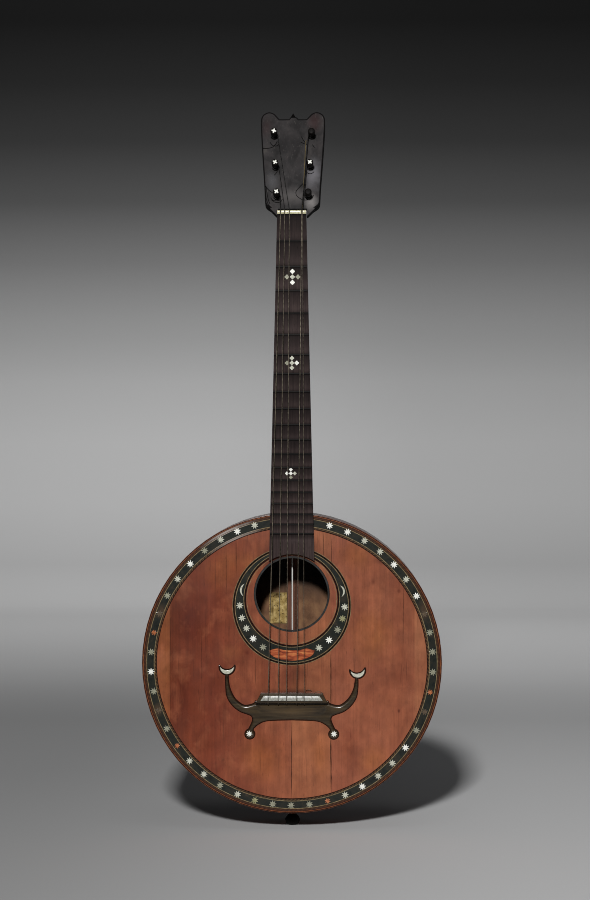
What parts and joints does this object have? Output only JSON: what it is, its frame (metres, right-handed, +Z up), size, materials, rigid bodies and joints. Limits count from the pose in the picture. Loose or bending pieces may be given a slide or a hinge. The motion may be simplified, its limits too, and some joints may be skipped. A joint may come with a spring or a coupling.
{
  "type": "guitar",
  "caption": "Round-bodied guitar with a lyre-shaped bridge, a star-inlaid border and rosette, a long fretted neck and a tilted headstock with friction pegs.",
  "frame": {"origin": "centre of the end pin's foot, midway between the soundboard and the back", "axes": "+Z up the neck, -Y out of the soundboard, +X to the right of someone who faces it"},
  "size_m": [0.398, 0.1079, 0.9568],
  "materials": {
    "reddish_cedar": "French polish, worn",
    "rosewood": "French polish",
    "walnut": "satin varnish",
    "spruce": "bare planed wood",
    "ebony": "oiled",
    "ebonised_wood": "dull varnish",
    "dark_horn": "polished",
    "tortoise": "polished",
    "bone": "polished",
    "fret_brass": "worn bright",
    "bright_steel": "drawn rod",
    "string_gut": "satin",
    "label_paper": "aged"
  },
  "bodies": {
    "guitar": {"soundboard": "reddish_cedar", "back": "rosewood", "rim": "rosewood", "top_binding": "walnut", "back_binding": "walnut", "star_border": "ebony", "rosette_band": "ebony", "rosette_inset": "tortoise", "soundhole_ring": "dark_horn", "top_lining": "spruce", "back_lining": "spruce", "neck_block": "spruce", "tail_block": "spruce", "neck": "walnut", "headstock": "ebonised_wood", "fingerboard": "ebony", "nut": "bone", "bridge": "ebony", "saddle": "bone", "end_pin": "ebony", "head_knob": "ebony", "tension_rod": "bright_steel", "label": "label_paper", "top_brace_upper": "spruce", "top_brace_lower": "spruce", "bridge_plate": "spruce", "back_brace_upper": "spruce", "back_brace_lower": "spruce", "back_strip": "reddish_cedar", "fret_01": "fret_brass", "fret_02": "fret_brass", "fret_03": "fret_brass", "fret_04": "fret_brass", "fret_05": "fret_brass", "fret_06": "fret_brass", "fret_07": "fret_brass", "fret_08": "fret_brass", "fret_09": "fret_brass", "fret_10": "fret_brass", "fret_11": "fret_brass", "fret_12": "fret_brass", "fret_13": "fret_brass", "fret_14": "fret_brass", "fret_15": "fret_brass", "fret_16": "fret_brass", "fret_17": "fret_brass", "fret_18": "fret_brass", "fret_19": "fret_brass", "string_low_e": "string_gut", "string_a": "string_gut", "string_d": "string_gut", "string_g": "string_gut", "string_b": "string_gut", "string_remnant": "string_gut"},
    "peg_low_e": {"peg_low_e": "ebony"},
    "peg_a": {"peg_a": "ebony"},
    "peg_d": {"peg_d": "ebony"},
    "peg_g": {"peg_g": "ebony"},
    "peg_b": {"peg_b": "ebony"},
    "peg_high_e": {"peg_high_e": "ebony"}
  },
  "joints": [
    {"name": "turn_low_e", "type": "hinge", "parent": "guitar", "child": "peg_low_e", "pos_m": [-0.02, -0.04271, 0.83984], "axis": [0, -0.9659, 0.2588], "continuous": true},
    {"name": "turn_a", "type": "hinge", "parent": "guitar", "child": "peg_a", "pos_m": [-0.0221, -0.03197, 0.87993], "axis": [0, -0.9659, 0.2588], "continuous": true},
    {"name": "turn_d", "type": "hinge", "parent": "guitar", "child": "peg_d", "pos_m": [-0.024, -0.02045, 0.92291], "axis": [0, -0.9659, 0.2588], "continuous": true},
    {"name": "turn_g", "type": "hinge", "parent": "guitar", "child": "peg_g", "pos_m": [0.026, -0.02045, 0.92291], "axis": [0, -0.9659, 0.2588], "continuous": true},
    {"name": "turn_b", "type": "hinge", "parent": "guitar", "child": "peg_b", "pos_m": [0.0241, -0.03197, 0.87993], "axis": [0, -0.9659, 0.2588], "continuous": true},
    {"name": "turn_high_e", "type": "hinge", "parent": "guitar", "child": "peg_high_e", "pos_m": [0.022, -0.04271, 0.83984], "axis": [0, -0.9659, 0.2588], "continuous": true}
  ]
}
